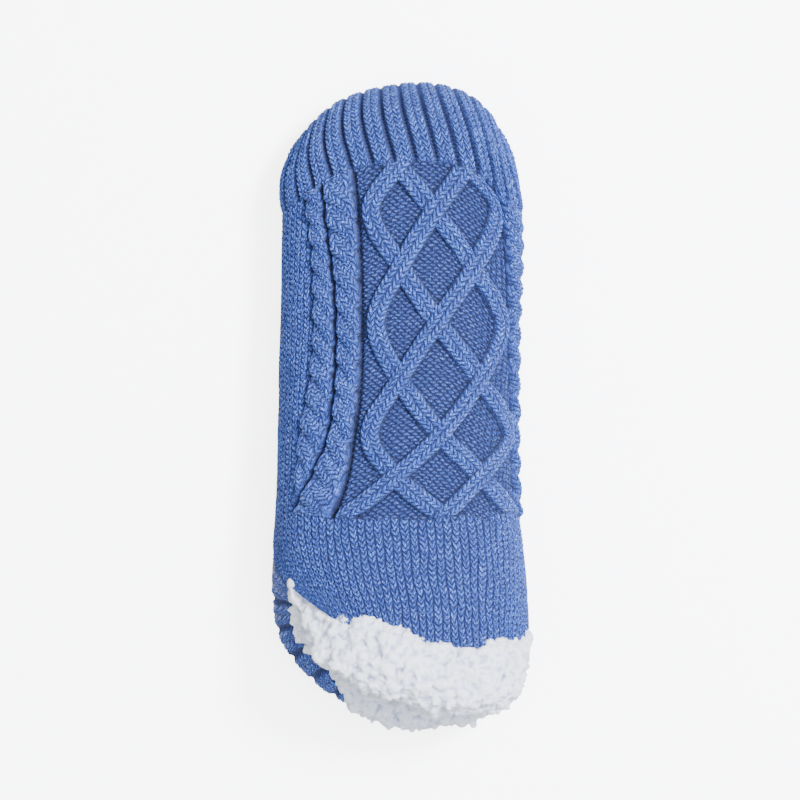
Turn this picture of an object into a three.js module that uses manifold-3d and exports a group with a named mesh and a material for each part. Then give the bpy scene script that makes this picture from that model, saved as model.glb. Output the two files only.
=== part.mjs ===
// Knitted slipper sock, fleece lined, with rubber grip dots. One sock for either foot.
// Millimetres, +Z up, toe towards -Y, standing empty on its dots with its centre over the origin.
//
// The knitted tube is one solid: ribbed toe, cabled instep, plain sole, plain flap and ribbed heel.
// Its surface is a family of rings. A ring has a top half and a bottom half, which meet along the two
// side lines. "u" runs across either half from the +X side (0) to the -X side (1), and "v" runs along
// the sock from the toe's closed edge to the collar's edge.

import * as THREE from "three";
import Module from "manifold-3d";

const wasm = await Module();
wasm.setup();

// Driving dimensions
const sockLength = 240; // knit, from the toe's tip to the back of the heel
const ballWidth = 90; // knit, across the ball of the foot
const flapHeight = 63; // top of the knit where the flap ends at the collar
const heelHeight = 26; // knit edge at the back of the heel
const toeEdgeHeight = 15; // height of the edge where the toe's top and bottom meet
const knitWall = 2.4; // the knit between its raised stitches
const fleecePile = 5; // thickness of the fleece lining
const layerGap = 0.6; // air between knit and fleece
const plainRelief = 0.7; // plain knit stands this far above a rib's groove
const ribRelief = 1.7; // rib
const cableRelief = 2.6; // lattice strand and rope
const toeRibCount = 15; // across each half
const heelRibCount = 14; // across the bottom half
const toeRibDepth = 31; // from the toe's tip, along the middle
const heelRibStart = 182; // from the toe's tip, along the sole
const cableEnd = 161; // from the toe's tip to the end of the lattice and ropes
const toeRowSpan = 90; // the toe's curved rows straighten out by here
const heelRowStart = 168; // straight rows end and the heel's curved rows begin here
const heelRowSpan = 60; // nominal height of the heel's rows
const topRound = 22; // how far the toe's top takes to rise from its edge
const soleRound = 16; // how far the toe's underside takes to reach the floor
const latticeHalf = 25; // from the lattice's middle to its outermost strand
const latticeMiddle = 0.618; // place of the lattice's middle across the top half
const strandWidth = 7.4;
const ropeWidth = 9.6;
const ropeGap = 1.6; // between two ropes, and between rope and lattice
const ropeTwist = 17; // length of one turn of a rope
const dotDiameter = 8.8;
const dotHeight = 1.2;
const dotGap = 0.3; // between a dot and the knit
const dotPitchAcross = 15.4;
const dotPitchAlong = 16.05;
const dotStart = 33.5; // first row, from the toe's tip
const dotMiddle = 4; // the dots' middle line, towards +X
const flapTrim = 15; // fleece that stands past the knit's edge on the flap
const heelTrim = 9; // and round the heel
const trimThick = 8.5; // the fleece trim, at its thickest
const lockRadius = 4.2; // one curl of the trim
const lockSpacing = 7.5;

// Fineness of the facets
const columnsARib = 3;
const cableColumnsAcross = 54; // over the top half, where the cables are
const soleColumnsAcross = 12; // under them
const flapColumnsAcross = 16;
const cableRowLength = 5.25;
const heelRowLength = 7.5;
const liningRowLength = sockLength / 11.4;
const liningCollarRows = 6;
const trimColumnsAcross = 22;

const soleZ = dotHeight + dotGap + plainRelief; // base surface over the dots
const halfWidth = ballWidth / 2;
const fleeceOuter = knitWall + layerGap; // depth of the fleece's outer face below the knit's base face
const fleeceInner = fleeceOuter + fleecePile;
const collarV = heelRowStart + heelRowSpan; // the collar's edge

// Sections along the straight part, shares of sockLength, of halfWidth and of flapHeight
const stations = [
  { at: 0.1, left: 0.905, right: 0.905, top: 0.54, widest: 0.25 },
  { at: 0.146, left: 0.995, right: 0.965, top: 0.6, widest: 0.262 },
  { at: 0.208, left: 0.995, right: 1.005, top: 0.655, widest: 0.278 },
  { at: 0.31, left: 1.0, right: 0.99, top: 0.695, widest: 0.287 },
  { at: 0.42, left: 1.015, right: 0.96, top: 0.735, widest: 0.295 },
  { at: 0.54, left: 1.027, right: 0.953, top: 0.8, widest: 0.3 },
  { at: 0.65, left: 1.042, right: 0.965, top: 0.87, widest: 0.31 },
  { at: 0.73, left: 1.065, right: 1.01, top: 0.92, widest: 0.32 },
  { at: 0.81, left: 1.09, right: 1.05, top: 0.965, widest: 0.328 },
  { at: 0.91, left: 1.09, right: 1.08, top: 1.0, widest: 0.328 },
];
const crestShare = -0.08; // the highest line's place, share of halfWidth
const flatShare = 0.62; // the flat of the sole, share of the half width there
const domePower = 2.3; // roundness of the top half

// The toe's edge seen from above: across, share of halfWidth, and back from the tip, share of sockLength
const toeEdge = [
  { across: -1.02, back: 0.106 },
  { across: -0.911, back: 0.1 },
  { across: -0.84, back: 0.08 },
  { across: -0.75, back: 0.05 },
  { across: -0.6, back: 0.022 },
  { across: -0.4, back: 0.006 },
  { across: -0.15, back: 0.0 },
  { across: 0.1, back: 0.004 },
  { across: 0.33, back: 0.014 },
  { across: 0.52, back: 0.028 },
  { across: 0.7, back: 0.055 },
  { across: 0.83, back: 0.083 },
  { across: 0.911, back: 0.1 },
  { across: 1.02, back: 0.106 },
];

// Where the flap ends: across the top half, and from the toe's tip, share of sockLength
const flapEdge = [
  { across: 0, at: 0.787 },
  { across: 0.15, at: 0.822 },
  { across: 0.3, at: 0.858 },
  { across: 0.45, at: 0.884 },
  { across: 0.6, at: 0.901 },
  { across: 0.75, at: 0.903 },
  { across: 0.88, at: 0.889 },
  { across: 1, at: 0.868 },
];
const leftNotch = (34 * Math.PI) / 180; // how far the +X side line climbs round the section
const rightNotch = (15 * Math.PI) / 180;

// The heel's edge between the notches: shares of halfWidth, sockLength and heelHeight, and how far the
// wall bellies out below the edge, share of halfWidth
const heelEdge = [
  { across: 0.125, x: 0.838, at: 0.854, up: 1.2, belly: 0.27 },
  { across: 0.226, x: 0.72, at: 0.901, up: 1.1, belly: 0.3 },
  { across: 0.364, x: 0.45, at: 0.962, up: 1.02, belly: 0.19 },
  { across: 0.518, x: 0.02, at: 0.992, up: 1.0, belly: 0.05 },
  { across: 0.674, x: -0.45, at: 0.99, up: 1.0, belly: 0.05 },
  { across: 0.81, x: -0.82, at: 0.962, up: 1.02, belly: 0.05 },
  { across: 0.917, x: -1.0, at: 0.915, up: 1.07, belly: 0.05 },
];

// The lattice's rows, from the toe's tip, share of sockLength. In one row strands cross half way out
// from the middle; in the next they cross in the middle and turn back at both sides.
const latticeRows = [
  { at: 0.13, row: 1 },
  { at: 0.207, row: 2 },
  { at: 0.293, row: 3 },
  { at: 0.382, row: 4 },
  { at: 0.471, row: 5 },
  { at: 0.555, row: 6 },
  { at: 0.618, row: 7 },
  { at: 0.68, row: 8 },
];

// The number of dots in each row from toe to heel
const dotRows = [1, 2, 3, 4, 3, 4, 3, 4, 3, 2, 1];

const knitBlue = 0x5a80b8;
const fleeceWhite = 0xf1f2f6;
const dotBlue = 0x3a4c86;

const clamp = (value, low, high) => Math.min(high, Math.max(low, value));
const mix = (a, b, share) => a + (b - a) * share;

function easeIn(value, from, to) {
  const share = clamp((value - from) / (to - from), 0, 1);
  return share * share * (3 - 2 * share);
}

// A smooth curve through a table's rows
function follow(table, key, column, value) {
  const last = table.length - 1;
  const place = clamp(value, table[0][key], table[last][key]);
  let i = 0;
  while (i < last - 1 && place > table[i + 1][key]) i += 1;
  const slope = (k) => {
    const before = table[Math.max(k - 1, 0)];
    const after = table[Math.min(k + 1, last)];
    return (after[column] - before[column]) / (after[key] - before[key]);
  };
  const span = table[i + 1][key] - table[i][key];
  const share = (place - table[i][key]) / span;
  const square = share * share;
  const cube = square * share;
  return (
    (2 * cube - 3 * square + 1) * table[i][column] +
    (cube - 2 * square + share) * span * slope(i) +
    (3 * square - 2 * cube) * table[i + 1][column] +
    (cube - square) * span * slope(i + 1)
  );
}

function sectionAt(s) {
  const at = s / sockLength;
  return {
    left: follow(stations, "at", "left", at) * halfWidth,
    right: follow(stations, "at", "right", at) * halfWidth,
    top: follow(stations, "at", "top", at) * flapHeight,
    widest: follow(stations, "at", "widest", at) * flapHeight,
    floor: soleZ,
  };
}

// The point at an even share of a curve's length
function alongCurve(pointAt, share, steps) {
  const points = [pointAt(0)];
  const lengths = [0];
  for (let i = 1; i <= steps; i += 1) {
    const p = pointAt(i / steps);
    const q = points[i - 1];
    points.push(p);
    lengths.push(lengths[i - 1] + Math.hypot(p[0] - q[0], p[1] - q[1]));
  }
  const wanted = share * lengths[steps];
  let i = 1;
  while (i < steps && lengths[i] < wanted) i += 1;
  const part = (wanted - lengths[i - 1]) / (lengths[i] - lengths[i - 1]);
  return [mix(points[i - 1][0], points[i][0], part), mix(points[i - 1][1], points[i][1], part)];
}

const curveSteps = 48;

// The domed top of a section, between two angles above its side lines
function topOfSection(section, u, fromAngle, toAngle) {
  const crest = crestShare * halfWidth;
  const onDome = (share) => {
    const angle = mix(fromAngle, Math.PI - toAngle, share);
    const c = Math.cos(angle);
    const s = Math.max(Math.sin(angle), 0);
    const reach = c > 0 ? section.left - crest : section.right + crest;
    return [
      crest + reach * Math.sign(c) * Math.abs(c) ** (2 / domePower),
      section.widest + (section.top - section.widest) * s ** (2 / domePower),
    ];
  };
  return alongCurve(onDome, u, curveSteps);
}

// The rounded sides and flat underside of a section
function bottomOfSection(section, u) {
  const roundShare = 0.3; // of the steps, on each rounded side
  const onSole = (share) => {
    const drop = section.widest - section.floor;
    if (share < roundShare || share > 1 - roundShare) {
      const isLeft = share < roundShare;
      const half = isLeft ? section.left : section.right;
      const angle = ((isLeft ? share : 1 - share) / roundShare) * (Math.PI / 2);
      const x = half * flatShare + half * (1 - flatShare) * Math.cos(angle);
      return [isLeft ? x : -x, section.widest - drop * Math.sin(angle)];
    }
    const flat = (share - roundShare) / (1 - 2 * roundShare);
    return [mix(section.left * flatShare, -section.right * flatShare, flat), section.floor];
  };
  return alongCurve(onSole, u, curveSteps);
}

const roundUp = (v, span) => Math.sqrt(1 - (1 - clamp(v / span, 0, 1)) ** 2);

// A point of the toe and of the straight part
function tubePoint(isTop, u, v) {
  const toeShare = Math.max(0, 1 - v / toeRowSpan);
  const corner = follow(toeEdge, "across", "back", 1) * sockLength;
  const section = sectionAt(v + corner * toeShare);
  const topRise = roundUp(v, topRound);
  const soleDrop = roundUp(v, soleRound);
  section.top = mix(toeEdgeHeight, section.top, topRise);
  section.widest = mix(toeEdgeHeight, section.widest, topRise);
  section.floor = mix(toeEdgeHeight, soleZ, soleDrop);
  const [x, z] = isTop ? topOfSection(section, u, 0, 0) : bottomOfSection(section, u);
  const back = follow(toeEdge, "across", "back", x / halfWidth) * sockLength;
  return new THREE.Vector3(x, v + back * toeShare, z);
}

// The flap over the instep, and the side lines that climb to the notches
function flapPoint(u, rise) {
  const end = follow(flapEdge, "across", "at", u) * sockLength;
  const s = mix(heelRowStart, end, rise);
  const climb = rise * rise * (1.6 - 0.6 * rise);
  const [x, z] = topOfSection(sectionAt(s), u, leftNotch * climb, rightNotch * climb);
  return new THREE.Vector3(x, s, z);
}

function heelEdgePoint(u) {
  const left = flapPoint(0, 1);
  const right = flapPoint(1, 1);
  const row = (across, p) => ({
    across,
    x: p.x / halfWidth,
    at: p.y / sockLength,
    up: p.z / heelHeight,
    belly: 0.05,
  });
  const rows = [row(0, left), ...heelEdge, row(1, right)];
  const read = (column) => follow(rows, "across", column, u);
  return {
    edge: new THREE.Vector3(read("x") * halfWidth, read("at") * sockLength, read("up") * heelHeight),
    belly: read("belly") * halfWidth,
  };
}

function heelCurve(u, rise) {
  const { edge, belly } = heelEdgePoint(u);
  const step = 0.01;
  const before = heelEdgePoint(Math.max(u - step, 0)).edge;
  const after = heelEdgePoint(Math.min(u + step, 1)).edge;
  const outward = new THREE.Vector3(before.y - after.y, after.x - before.x, 0).normalize().negate();
  const start = tubePoint(false, u, heelRowStart);
  const reach = edge.y - start.y;
  const along = (share) => start.clone().add(new THREE.Vector3(0, reach * share, 0));
  const low = edge.clone().addScaledVector(outward, belly * 1.2 + 1.5);
  low.z = start.z;
  const wide = edge.clone().addScaledVector(outward, belly);
  wide.z = mix(start.z, edge.z, 0.52);
  const handles = [start, along(0.26), along(0.54), low, wide, edge];
  const weights = [1, 5, 10, 10, 5, 1];
  const point = new THREE.Vector3();
  handles.forEach((handle, i) => {
    point.addScaledVector(handle, weights[i] * rise ** i * (1 - rise) ** (5 - i));
  });
  return point;
}

// The heel cup, joined to the side lines
function heelPoint(u, rise) {
  const joinShare = 0.14; // of the half's width, over which the cup turns into the side line
  const point = heelCurve(u, rise);
  const leftShare = 1 - easeIn(u, 0, joinShare);
  const rightShare = 1 - easeIn(1 - u, 0, joinShare);
  if (leftShare > 0) {
    point.add(flapPoint(0, rise).sub(heelCurve(0, rise)).multiplyScalar(leftShare));
  }
  if (rightShare > 0) {
    point.add(flapPoint(1, rise).sub(heelCurve(1, rise)).multiplyScalar(rightShare));
  }
  return point;
}

// A point of the base surface. t goes once round a ring: 0 and 0.5 are the side lines.
function basePoint(t, v) {
  const turn = ((t % 1) + 1) % 1;
  const isTop = turn <= 0.5;
  const u = isTop ? turn * 2 : 2 - turn * 2;
  if (v <= heelRowStart) return tubePoint(isTop, u, v);
  const rise = (v - heelRowStart) / heelRowSpan;
  return isTop ? flapPoint(u, rise) : heelPoint(u, rise);
}

// The directions round the ring, along the sock and out of the wall
function directionsAt(t, v) {
  const stepT = 0.004;
  const stepV = 0.6;
  const low = Math.max(v - stepV, firstRow);
  const high = Math.min(v + stepV, collarV);
  const round = basePoint(t + stepT, v).sub(basePoint(t - stepT, v)).normalize();
  const along = basePoint(t, high).sub(basePoint(t, low)).normalize();
  const out = new THREE.Vector3().crossVectors(along, round).normalize();
  return { round, along, out };
}

const firstRow = 0.8; // the toe's rows start this far from its edge, where the tube is linked shut

// How far a strand or rope of a given width stands up at a distance from its middle line
const ridge = (distance, width) => Math.sqrt(Math.max(0, 1 - (2 * distance) ** 2 / width ** 2));

// A wave that goes from -1 to 1 and back in straight lines
function zigzag(turns) {
  const part = ((turns % 1) + 1) % 1;
  return part < 0.5 ? 4 * part - 1 : 3 - 4 * part;
}

function topGirth(v) {
  let girth = 0;
  const steps = 24;
  for (let i = 1; i <= steps; i += 1) {
    girth += tubePoint(true, i / steps, v).distanceTo(tubePoint(true, (i - 1) / steps, v));
  }
  return girth;
}

const girths = new Map();
function girthAt(v) {
  if (!girths.has(v)) girths.set(v, topGirth(Math.min(v, heelRowStart)));
  return girths.get(v);
}

const strandSlope = 1.18; // a slanting strand's width, measured straight across the lattice

// Height of lattice and ropes over the instep; across is measured from the lattice's middle
function cableHeight(across, s) {
  let height = 0;
  const strands = 4;
  for (let i = 0; i < strands; i += 1) {
    const turns = follow(latticeRows, "at", "row", s / sockLength) / (2 * strands) + i / strands;
    const middle = latticeHalf * zigzag(turns);
    height = Math.max(height, ridge(Math.abs(across - middle) / strandSlope, strandWidth));
  }
  const firstRope = latticeHalf + strandWidth / 2 + ropeGap + ropeWidth / 2;
  for (const middle of [firstRope, firstRope + ropeWidth + ropeGap]) {
    const sway = 0.8 * Math.sin((2 * Math.PI * s) / ropeTwist);
    height = Math.max(height, ridge(Math.abs(Math.abs(across) - middle - sway), ropeWidth));
  }
  return height * cableRelief;
}

// Height of a rib over the base surface; the sole's ribs are cut down to the plain knit's height
function ribHeight(u, count, isTop) {
  const part = Math.abs(((u * count) % 1) - 0.5) * 2; // 1 in the groove
  return (isTop ? ribRelief : plainRelief) - ribRelief * easeIn(part, 0.45, 0.9);
}

// How far the knit stands above its base surface
function knitRelief(t, v) {
  const isTop = t <= 0.5;
  const u = isTop ? t * 2 : 2 - t * 2;
  const toe = 1 - easeIn(v, toeRibDepth - 2, toeRibDepth + 2);
  if (toe > 0) return mix(plainRelief, ribHeight(u, toeRibCount, isTop), toe);
  if (isTop) {
    const cables = (1 - easeIn(v, cableEnd - 3, cableEnd + 1)) * easeIn(v, toeRibDepth, toeRibDepth + 4);
    const across = (latticeMiddle - u) * girthAt(v);
    const panel = latticeHalf + strandWidth + 2 * (ropeWidth + ropeGap);
    const inPanel = 1 - easeIn(Math.abs(across), panel - 3, panel);
    return mix(plainRelief, cableHeight(across, v), cables * inPanel);
  }
  const heel = easeIn(v, heelRibStart - 3, heelRibStart + 1);
  return mix(plainRelief, ribHeight(u, heelRibCount, isTop), heel);
}

// A ring's places round the tube for a number of columns in its top and in its bottom half
function columns(top, bottom) {
  const turns = [];
  for (let i = 0; i < top; i += 1) turns.push((0.5 * i) / top);
  for (let i = 0; i < bottom; i += 1) turns.push(0.5 + (0.5 * i) / bottom);
  return turns;
}

// Rows from one place to another, none of them longer than the given length
function rows(from, to, longest) {
  const count = Math.max(1, Math.ceil((to - from) / longest - 1e-6));
  return Array.from({ length: count }, (_, i) => mix(from, to, (i + 1) / count));
}

class Skin {
  constructor() {
    this.places = [];
    this.faces = [];
  }

  ring(turns, pointAt) {
    return turns.map((t) => {
      const p = pointAt(t);
      this.places.push(p.x, p.y, p.z);
      return { t, index: this.places.length / 3 - 1 };
    });
  }

  // Joins two rings, whatever their numbers of columns. Where both could step on, the far one does so
  // first if farFirst is set, so that nested skins can be split along the same diagonals.
  band(near, far, farFirst = false) {
    let i = 0;
    let j = 0;
    const turnOf = (ring, k) => ring[k % ring.length].t + Math.floor(k / ring.length);
    while (i < near.length || j < far.length) {
      const a = near[i % near.length].index;
      const b = far[j % far.length].index;
      const lead = turnOf(far, j + 1) - turnOf(near, i + 1);
      const stepNear = j >= far.length || (i < near.length && (farFirst ? lead > 1e-9 : lead > -1e-9));
      if (stepNear) {
        this.faces.push(a, b, near[(i + 1) % near.length].index);
        i += 1;
      } else {
        this.faces.push(a, b, far[(j + 1) % far.length].index);
        j += 1;
      }
    }
  }

  // Closes a flattened ring, top half to bottom half
  linkShut(ring, isOutside) {
    const half = ring.length / 2;
    for (let i = 0; i < half; i += 1) {
      const corners = [
        ring[i].index,
        ring[i + 1].index,
        ring[(ring.length - i) % ring.length].index,
        ring[ring.length - i - 1].index,
      ];
      const [a, b, c, d] = corners;
      const wanted = isOutside ? [a, b, c, b, d, c] : [a, c, b, b, c, d];
      if (a !== c) this.faces.push(...wanted.slice(0, 3));
      if (b !== d) this.faces.push(...wanted.slice(3));
    }
  }

  geometry() {
    const made = new THREE.BufferGeometry();
    made.setAttribute("position", new THREE.Float32BufferAttribute(this.places, 3));
    made.setIndex(this.faces);
    return made;
  }
}

const offsetPoint = (t, v, out) => basePoint(t, v).addScaledVector(directionsAt(t, v).out, out);

const innerColumns = columns(16, 14);
const innerRows = [
  firstRow,
  ...rows(firstRow, topRound, topRound / 4),
  ...rows(topRound, heelRowStart, liningRowLength),
  ...rows(heelRowStart, collarV, heelRowSpan / liningCollarRows),
];

// The rows inside the tube at one depth, from the collar to the toe
function insideRings(skin, depth) {
  return [...innerRows].reverse().map((v) => skin.ring(innerColumns, (t) => offsetPoint(t, v, -depth)));
}

function joinRings(skin, rings, farFirst = false) {
  rings.slice(1).forEach((ring, i) => skin.band(rings[i], ring, farFirst));
}

function knitGeometry(wall) {
  const skin = new Skin();
  const ribColumns = columns(toeRibCount * columnsARib, toeRibCount * columnsARib);
  const cableColumns = columns(cableColumnsAcross, soleColumnsAcross);
  const heelColumns = columns(flapColumnsAcross, heelRibCount * columnsARib);
  const outerRows = [
    [ribColumns, [firstRow, 3, 8, 15, toeRibDepth - 1.5]],
    [cableColumns, [toeRibDepth + 2, ...rows(toeRibDepth + 2, cableEnd - 3, cableRowLength), cableEnd + 1.5]],
    [heelColumns, [heelRibStart - 4, heelRibStart + 1, ...rows(heelRibStart + 1, collarV, heelRowLength)]],
  ];
  const rings = outerRows.flatMap(([turns, places]) =>
    places.map((v) => skin.ring(turns, (t) => offsetPoint(t, v, knitRelief(t, v)))),
  );
  skin.linkShut(rings[0], true);
  const inside = insideRings(skin, wall);
  joinRings(skin, [...rings, ...inside]);
  skin.linkShut(inside[inside.length - 1], false);
  return skin.geometry();
}

// How much fleece stands out at a place round the collar: little at the notches
function trimShare(t) {
  const fromNotch = Math.min(t, Math.abs(t - 0.5), 1 - t);
  return 0.2 + 0.8 * easeIn(fromNotch, 0.02, 0.12);
}

// The collar's frame: up is the way in which the trim stands out of the knit
function collarFrame(t) {
  const { round, out } = directionsAt(t, collarV);
  const isTop = t <= 0.5;
  const middle = Math.sin(Math.PI * (isTop ? t : t - 0.5) * 2);
  const lift = (isTop ? 0.25 : 0.45) * middle;
  const up = new THREE.Vector3().crossVectors(round, out).addScaledVector(out, lift).normalize();
  const side = out.clone().addScaledVector(up, -out.dot(up)).normalize();
  return { edge: basePoint(t, collarV), up, side };
}

// A point of the trim: height is a share of the trim's height there
function trimPoint(t, height, outward) {
  const { edge, up, side } = collarFrame(t);
  const reach = (t <= 0.5 ? flapTrim : heelTrim) * trimShare(t);
  return edge.addScaledVector(up, height * reach).addScaledVector(side, outward);
}

// The trim's profile past the knit's edge: height, share of the whole, and place through the fleece,
// from its outer face (0) to its inner face (1)
const trimProfile = [
  { height: 0.22, through: 0.25 },
  { height: 0.5, through: -0.25 },
  { height: 0.7, through: -0.25 },
  { height: 0.95, through: 0.2 },
  { height: 0.95, through: 0.75 },
  { height: 0.6, through: 1.15 },
  { height: 0.2, through: 1.1 },
];

const trimColumns = columns(trimColumnsAcross, trimColumnsAcross);

function fleeceBag() {
  const skin = new Skin();
  const outside = insideRings(skin, fleeceOuter).reverse();
  skin.linkShut(outside[0], true);
  const trim = trimProfile.map(({ height, through }, i) =>
    skin.ring(i === 0 ? innerColumns : trimColumns, (t) => {
      const swell = (trimThick / fleecePile - 1) * trimShare(t) + 1;
      const depth = fleeceOuter + fleecePile / 2 + (through - 0.5) * fleecePile * swell;
      return trimPoint(t, height, -depth);
    }),
  );
  const inside = insideRings(skin, fleeceInner);
  joinRings(skin, outside, true);
  joinRings(skin, [outside[outside.length - 1], ...trim, ...inside]);
  skin.linkShut(inside[inside.length - 1], false);
  return skin.geometry();
}

function toSolid(geometry) {
  return new wasm.Manifold(
    new wasm.Mesh({
      numProp: 3,
      vertProperties: new Float32Array(geometry.getAttribute("position").array),
      triVerts: new Uint32Array(geometry.getIndex().array),
    }),
  );
}

function toGeometry(solid) {
  const mesh = solid.getMesh();
  const places = new Float32Array(mesh.numVert * 3);
  for (let i = 0; i < mesh.numVert; i += 1) {
    for (let k = 0; k < 3; k += 1) places[i * 3 + k] = mesh.vertProperties[i * mesh.numProp + k];
  }
  const made = new THREE.BufferGeometry();
  made.setAttribute("position", new THREE.BufferAttribute(places, 3));
  made.setIndex(new THREE.BufferAttribute(mesh.triVerts, 1));
  return made;
}

// A faceted ball, stretched to an oval lock
function lockSolid(centre, up, side, radius) {
  const ball = new THREE.OctahedronGeometry(radius, 1);
  ball.deleteAttribute("normal");
  ball.deleteAttribute("uv");
  const turned = new THREE.Matrix4().makeBasis(up, side, new THREE.Vector3().crossVectors(up, side));
  ball.scale(1.15, 1, 0.95);
  ball.applyMatrix4(turned);
  ball.translate(centre.x, centre.y, centre.z);
  const places = ball.getAttribute("position").array;
  const found = new Map();
  const corners = [];
  const triVerts = [];
  for (let i = 0; i < places.length; i += 3) {
    const key = [0, 1, 2].map((k) => places[i + k].toFixed(3)).join();
    if (!found.has(key)) {
      found.set(key, corners.length / 3);
      corners.push(places[i], places[i + 1], places[i + 2]);
    }
    triVerts.push(found.get(key));
  }
  return new wasm.Manifold(
    new wasm.Mesh({
      numProp: 3,
      vertProperties: new Float32Array(corners),
      triVerts: new Uint32Array(triVerts),
    }),
  );
}

// Places round the collar, one lock apart
function lockTurns() {
  const steps = 400;
  const turns = [];
  let walked = 0;
  for (let i = 1; i <= steps; i += 1) {
    walked += basePoint(i / steps, collarV).distanceTo(basePoint((i - 1) / steps, collarV));
    if (walked >= lockSpacing) {
      turns.push(i / steps);
      walked = 0;
    }
  }
  return turns;
}

// A lock that the knit cuts loose is left out
function largestBody(solid) {
  return solid.decompose().reduce((a, b) => (b.volume() > a.volume() ? b : a));
}

// The lining and its trim in one, kept clear of the knit
function fleeceGeometry() {
  let fleece = toSolid(fleeceBag());
  lockTurns().forEach((t, i) => {
    const share = trimShare(t);
    if (share < 0.6) return;
    const { up, side } = collarFrame(t);
    const wander = (i % 3) - 1;
    const centre = trimPoint(t, 0.66 + 0.06 * wander, -fleeceOuter + 0.4 * wander);
    fleece = fleece.add(lockSolid(centre, up, side, lockRadius * share * (1 + 0.06 * wander)));
  });
  for (const spare of [layerGap / 2, 0]) fleece = fleece.subtract(toSolid(knitGeometry(knitWall + spare)));
  return toGeometry(largestBody(fleece.simplify(0.02)));
}

function dotGeometry() {
  const radius = dotDiameter / 2;
  const profile = [
    new THREE.Vector2(0, 0),
    new THREE.Vector2(radius * 0.78, 0),
    new THREE.Vector2(radius, dotHeight),
    new THREE.Vector2(0, dotHeight),
  ];
  const made = new THREE.LatheGeometry(profile, 12);
  made.rotateX(Math.PI / 2);
  return made;
}

function material(color, roughness) {
  return new THREE.MeshStandardMaterial({ color, roughness, metalness: 0 });
}

function mesh(name, geometry, look) {
  const made = new THREE.Mesh(geometry, look);
  made.name = name;
  return made;
}

const sock = new THREE.Group();
sock.add(mesh("knit_upper", knitGeometry(knitWall), material(knitBlue, 0.9)));
sock.add(mesh("fleece_lining", fleeceGeometry(), material(fleeceWhite, 1)));

const rubber = material(dotBlue, 0.4);
let dotNumber = 0;
dotRows.forEach((count, row) => {
  for (let i = 0; i < count; i += 1) {
    dotNumber += 1;
    const dot = mesh(`grip_dot_${String(dotNumber).padStart(2, "0")}`, dotGeometry(), rubber);
    const across = (i - (count - 1) / 2) * dotPitchAcross;
    dot.position.set(dotMiddle + across, dotStart + row * dotPitchAlong, 0);
    sock.add(dot);
  }
});

// Centres the sock over the origin
const box = new THREE.Box3().setFromObject(sock);
const middle = box.getCenter(new THREE.Vector3());
sock.position.set(-middle.x, -middle.y, -box.min.z);

export default sock;
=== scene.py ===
"""Knitted slipper sock with a fleece lining, seen from straight above on a pale studio floor.

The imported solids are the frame. The knit is built again as fine grids over the same base surface as the
solids have, in millimetres, with every stitch raised, and scaled to metres when a mesh is made.
"""

import math
from functools import partial

import bmesh
import bpy
import numpy as np
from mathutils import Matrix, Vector, kdtree, noise


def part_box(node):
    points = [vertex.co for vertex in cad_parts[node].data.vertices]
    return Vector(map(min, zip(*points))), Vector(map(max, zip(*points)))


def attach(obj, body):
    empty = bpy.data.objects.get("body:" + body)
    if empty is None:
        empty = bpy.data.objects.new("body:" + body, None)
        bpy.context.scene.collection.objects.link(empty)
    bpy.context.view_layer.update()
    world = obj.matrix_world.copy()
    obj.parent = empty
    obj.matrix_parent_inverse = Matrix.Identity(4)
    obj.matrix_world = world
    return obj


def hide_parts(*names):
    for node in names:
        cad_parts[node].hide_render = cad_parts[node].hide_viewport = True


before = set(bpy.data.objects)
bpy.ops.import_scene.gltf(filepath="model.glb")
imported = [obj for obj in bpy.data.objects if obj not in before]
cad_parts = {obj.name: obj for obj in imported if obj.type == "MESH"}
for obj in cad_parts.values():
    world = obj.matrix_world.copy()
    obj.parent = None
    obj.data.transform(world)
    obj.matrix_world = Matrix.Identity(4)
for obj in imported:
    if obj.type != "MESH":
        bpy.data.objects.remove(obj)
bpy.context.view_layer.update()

MM = 0.001

# The solids' driving dimensions, as in the part
SOCK_LENGTH = 240.0
HALF_WIDTH = 45.0
FLAP_HEIGHT = 63.0
HEEL_HEIGHT = 26.0
TOE_EDGE_HEIGHT = 15.0
KNIT_WALL = 2.4
FLEECE_PILE = 5.0
LAYER_GAP = 0.6
PLAIN_RELIEF = 0.7
DOT_HEIGHT = 1.2
SOLE_Z = DOT_HEIGHT + 0.3 + PLAIN_RELIEF
TOE_ROW_SPAN = 90.0
HEEL_ROW_START = 168.0
HEEL_ROW_SPAN = 60.0
COLLAR_V = HEEL_ROW_START + HEEL_ROW_SPAN
TOP_ROUND = 22.0
SOLE_ROUND = 16.0
CREST_SHARE = -0.08
FLAT_SHARE = 0.62
DOME_POWER = 2.3
LEFT_NOTCH = math.radians(34)
RIGHT_NOTCH = math.radians(15)
FLAP_TRIM = 15.0
HEEL_TRIM = 9.5
DOT_MIDDLE = 4.0
DOT_START = 33.5

STATIONS = np.array([
    # at, left, right, top, widest
    (0.1, 0.905, 0.905, 0.54, 0.25),
    (0.146, 0.995, 0.965, 0.6, 0.262),
    (0.208, 0.995, 1.005, 0.655, 0.278),
    (0.31, 1.0, 0.99, 0.695, 0.287),
    (0.42, 1.015, 0.96, 0.735, 0.295),
    (0.54, 1.027, 0.953, 0.8, 0.3),
    (0.65, 1.042, 0.965, 0.87, 0.31),
    (0.73, 1.065, 1.01, 0.92, 0.32),
    (0.81, 1.09, 1.05, 0.965, 0.328),
    (0.91, 1.09, 1.08, 1.0, 0.328),
])
TOE_EDGE = np.array([
    # across, back
    (-1.02, 0.106), (-0.911, 0.1), (-0.84, 0.08), (-0.75, 0.05), (-0.6, 0.022), (-0.4, 0.006),
    (-0.15, 0.0), (0.1, 0.004), (0.33, 0.014), (0.52, 0.028), (0.7, 0.055), (0.83, 0.083),
    (0.911, 0.1), (1.02, 0.106),
])
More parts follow.
